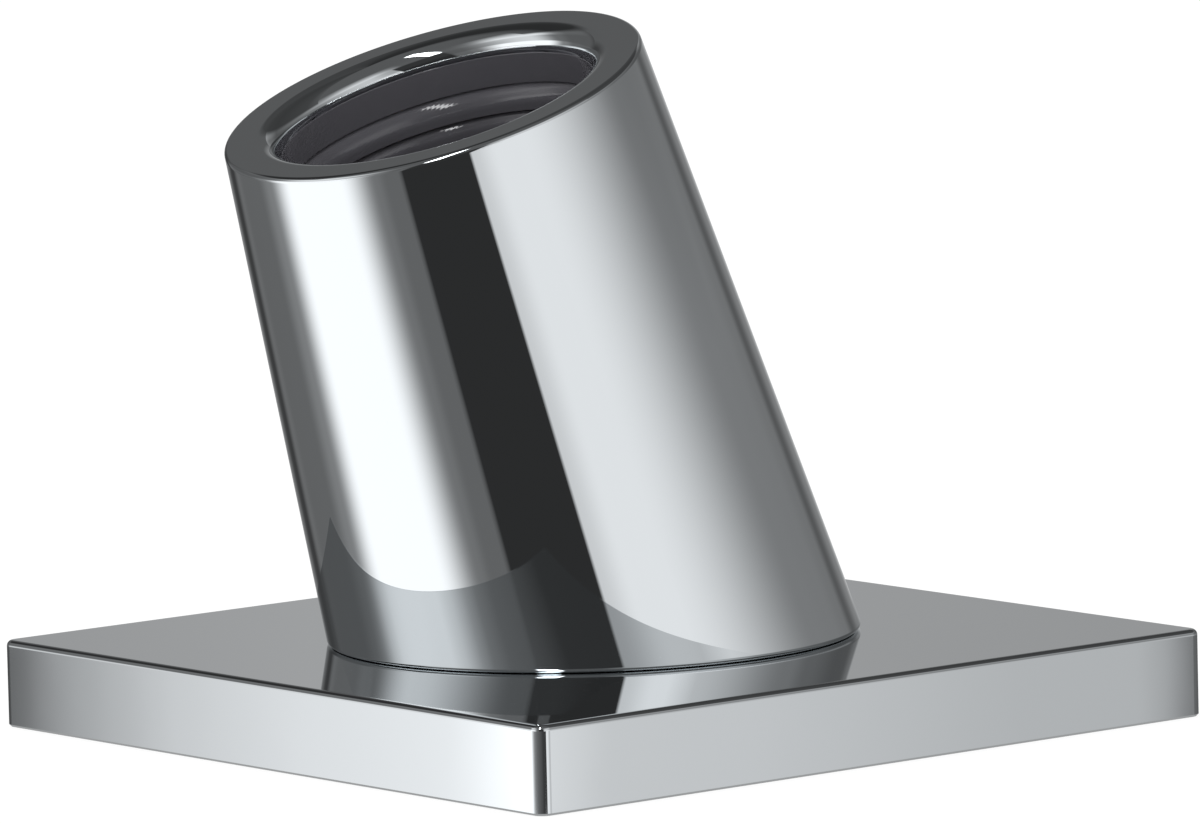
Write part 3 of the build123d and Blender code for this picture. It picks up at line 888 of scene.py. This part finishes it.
# %% [markdown]
# A thread is a groove that climbs by its pitch in one turn. On a mesh of rings it needs no spiral
# modelling: every ring point asks how far it is from the crest that passes its angle, and sinks
# by that much. Eight rings to a pitch show a clean ridge. At both ends the groove runs out, as it
# does where a die starts and stops. These pieces are seen from near only by a plumber, so they keep
# their sharp edges by angle, with no slopes written for each point.

# %% Helpers for threads and turned shafts
RINGS_TO_A_PITCH, CREST_ROUND, SHARP = 8, 0.8, radians(28)
SAME_PLACE, NO_LENGTH = 1e-7, 1e-8


def shaft_row(height, radius_at, columns, centre=(0, 0)):
    """A ring of places round an upright shaft, with the radius that belongs to each angle."""
    row = []
    for j in range(columns):
        a = 2 * pi * j / columns
        r = radius_at(a)
        row.append(Vector((centre[0] + r * cos(a), centre[1] + r * sin(a), height)))
    return row


def plain_rows(places, columns, centre=(0, 0)):
    """Round rings at (radius, height) places."""
    return [shaft_row(height, lambda a: radius, columns, centre) for radius, height in places]


def threaded_rows(radius, low, high, pitch, depth, columns, centre=(0, 0)):
    """Rings down a threaded shank, with run-outs at both ends."""
    count = ceil((high - low) / pitch * RINGS_TO_A_PITCH)
    rows = []
    for k in range(count, -1, -1):
        height = low + (high - low) * k / count
        run_out = min(1.0, max(0.0, (height - low) / pitch), max(0.0, (high - height) / pitch))

        def grooved(a):
            turn = (height / pitch - a / (2 * pi)) % 1.0
            return radius - depth * (1 - abs(2 * turn - 1)) ** CREST_ROUND * run_out

        rows.append(shaft_row(height, grooved, columns, centre))
    return rows


def closed_turning(name, rings, material, body, slot, *stands_for):
    """A turned piece from one closed chain of rings, with its sharp edges kept."""
    bm = bmesh.new()
    grid = [[bm.verts.new(place * MM) for place in row] for row in rings]
    for low, high in zip(grid, grid[1:]):
        for j in range(len(low)):
            k = (j + 1) % len(low)
            bm.faces.new((low[j], high[j], high[k], low[k]))
    bmesh.ops.remove_doubles(bm, verts=bm.verts, dist=SAME_PLACE)
    bmesh.ops.dissolve_degenerate(bm, edges=bm.edges, dist=NO_LENGTH)
    bmesh.ops.recalc_face_normals(bm, faces=bm.faces)
    mesh = bpy.data.meshes.new(name)
    bm.to_mesh(mesh)
    bm.free()
    mesh.shade_smooth()
    mesh.set_sharp_from_angle(angle=SHARP)
    return seated(name, mesh, material, body, slot, *stands_for)


# %% [markdown]
# The tube screws up into the socket with its upper thread, its flange pulls the plate down on the
# socket's foot, and the long lower thread goes through the bath rim. Its rings run down the
# outside, in at the lower end and up through the bore to where they began.

# %% Threaded tube
NECK_THREAD_R, NECK_THREAD_DEEP, NECK_TOP_END = 14.95, 0.85, 15.9
DECK_THREAD_R, DECK_THREAD_DEEP, TUBE_END, PITCH = 16.5, 0.9, -60.0, 1.5
BORE_R, FLANGE_R, FLANGE_TOP, FLANGE_FOOT, FLANGE_EASING = 12.6, 19.0, 2.8, 0.3, 0.3
COLLAR_UNDER_R, COLLAR_UNDER_FOOT, DECK_THREAD_TOP, LEAD_IN = 15.6, -1.7, -2.6, 1.0
AROUND_TUBE = 120

neck_core_r = NECK_THREAD_R - NECK_THREAD_DEEP
tube_rings = plain_rows([(NECK_THREAD_R - LEAD_IN, NECK_TOP_END)], AROUND_TUBE)
neck_thread = (NECK_THREAD_R, FLANGE_TOP + 0.8, NECK_TOP_END - LEAD_IN)
tube_rings += threaded_rows(*neck_thread, PITCH, NECK_THREAD_DEEP, AROUND_TUBE)
tube_rings += plain_rows([
    (neck_core_r, FLANGE_TOP + 0.7),
    (neck_core_r, FLANGE_TOP),
    (FLANGE_R - FLANGE_EASING, FLANGE_TOP),
    (FLANGE_R, FLANGE_TOP - FLANGE_EASING),
    (FLANGE_R, FLANGE_FOOT + FLANGE_EASING),
    (FLANGE_R - FLANGE_EASING, FLANGE_FOOT),
    (COLLAR_UNDER_R, FLANGE_FOOT),
    (COLLAR_UNDER_R, COLLAR_UNDER_FOOT),
    (DECK_THREAD_R, DECK_THREAD_TOP),
], AROUND_TUBE)
deck_thread = (DECK_THREAD_R, TUBE_END + LEAD_IN, DECK_THREAD_TOP - 0.1)
tube_rings += threaded_rows(*deck_thread, PITCH, DECK_THREAD_DEEP, AROUND_TUBE)
tube_rings += plain_rows([
    (DECK_THREAD_R - LEAD_IN, TUBE_END),
    (BORE_R, TUBE_END),
    (BORE_R, NECK_TOP_END - LEAD_IN),
    (BORE_R + LEAD_IN, NECK_TOP_END),
    (NECK_THREAD_R - LEAD_IN, NECK_TOP_END),
], AROUND_TUBE)
tube = closed_turning("tube_with_threads", tube_rings, brass, "outlet", "turned_brass", "threaded_tube")

# %% [markdown]
# Two slots across the tube's lower end take a flat bar while it is screwed in. They could be
# modelled into the rings, but a slot with flat sides doesn't fit round columns. A Boolean with a
# bar as cutter is quick and exact here, and the cutter is thrown away afterwards.

# %% Spanner slots
BAR_LONG, BAR_WIDE, BAR_HIGH, SLOT_DEEP = 40, 6, 4, 3
bar = bmesh.new()
bmesh.ops.create_cube(bar, size=1.0)
bar_middle = TUBE_END + SLOT_DEEP - BAR_HIGH / 2
for corner in bar.verts:
    x, y, z = corner.co
    corner.co = Vector((x * BAR_LONG, y * BAR_WIDE, bar_middle + z * BAR_HIGH)) * MM
bar_mesh = bpy.data.meshes.new("slot_cutter")
bar.to_mesh(bar_mesh)
bar.free()
slot_cutter = placed("slot_cutter", bar_mesh)
cut = tube.modifiers.new("spanner_slots", "BOOLEAN")
cut.object = slot_cutter
cut.operation = "DIFFERENCE"
cut.solver = "EXACT"
slotted = bpy.data.meshes.new_from_object(tube.evaluated_get(bpy.context.evaluated_depsgraph_get()))
tube.modifiers.clear()
tube.data = slotted
bpy.data.objects.remove(slot_cutter)
slotted.set_sharp_from_angle(angle=SHARP)
print("tube with slots", len(slotted.polygons), "faces")

# %% [markdown]
# Three jack screws do the last tightening: the nut is run up by hand, and the screws then press
# the steel washer against the rubber. Each has a plain turned tip, a fine thread and a hexagon
# head whose corners are turned off at 30 degrees. The hexagon needs no cutting: at each angle
# the radius is the smaller of the hexagon's and the chamfer cone's.

# %% Jack screws
SCREW_CIRCLE, SCREW_R, SCREW_PITCH, SCREW_THREAD_DEEP, CORE_LESS = 21.5, 2.5, 0.8, 0.45, 0.4
TIP_R, TIP_EASING, TIP_LONG, THREAD_FROM = 1.7, 0.3, 1.5, 1.9
SCREW_TOP, HEAD_TOP, HEAD_FOOT = -25.0, -41.0, -44.5
HEAD_HALF_FLATS, HEAD_FACE_R, HEAD_CORNER_R, CHAMFER_IN = 4.0, 4.3, 4.62, 0.15
CHAMFER_UPS = (0.45, 0.38, 0.3, 0.22, 0.15, 0.08, 0)
DIMPLE_R, DIMPLE_FLOOR_R, DIMPLE_DEEP, POINT_R = 2.6, 2.3, 0.25, 0.02
AROUND_SCREW = 72


def hexagon_row(height, cone_r, centre):
    def hexagon(a):
        in_flat = (a + pi / 6) % (pi / 3) - pi / 6
        return min(HEAD_HALF_FLATS / cos(in_flat), cone_r)

    return shaft_row(height, hexagon, AROUND_SCREW, centre)


def jack_screw_rings(centre):
    """One screw from its tip down to the dimple in its head."""
    rings = plain_rows([
        (POINT_R, SCREW_TOP),
        (TIP_R - TIP_EASING, SCREW_TOP),
        (TIP_R, SCREW_TOP - TIP_EASING),
        (TIP_R, SCREW_TOP - TIP_LONG),
    ], AROUND_SCREW, centre)
    thread = (SCREW_R, HEAD_TOP + 0.8, SCREW_TOP - THREAD_FROM)
    rings += threaded_rows(*thread, SCREW_PITCH, SCREW_THREAD_DEEP, AROUND_SCREW, centre)
    core_r = SCREW_R - CORE_LESS
    rings += plain_rows([(core_r, HEAD_TOP + 0.6), (core_r, HEAD_TOP)], AROUND_SCREW, centre)
    rings += [hexagon_row(HEAD_TOP, cone_r, centre) for cone_r in (HEAD_FACE_R, HEAD_CORNER_R)]
    for up in CHAMFER_UPS:
        rings.append(hexagon_row(HEAD_FOOT + up, HEAD_HALF_FLATS - CHAMFER_IN + up * sqrt(3), centre))
    rings += plain_rows([
        (DIMPLE_R, HEAD_FOOT),
        (DIMPLE_FLOOR_R, HEAD_FOOT + DIMPLE_DEEP),
        (POINT_R, HEAD_FOOT + DIMPLE_DEEP),
    ], AROUND_SCREW, centre)
    return rings


stands_for = ["jack_screws"]
for name, deg in (("jack_screw_front", -90), ("jack_screw_right", 30), ("jack_screw_left", 150)):
    centre = (SCREW_CIRCLE * cos(radians(deg)), SCREW_CIRCLE * sin(radians(deg)))
    closed_turning(name, jack_screw_rings(centre), zinc, "nut", "zinc_steel", *stands_for)
    stands_for = []
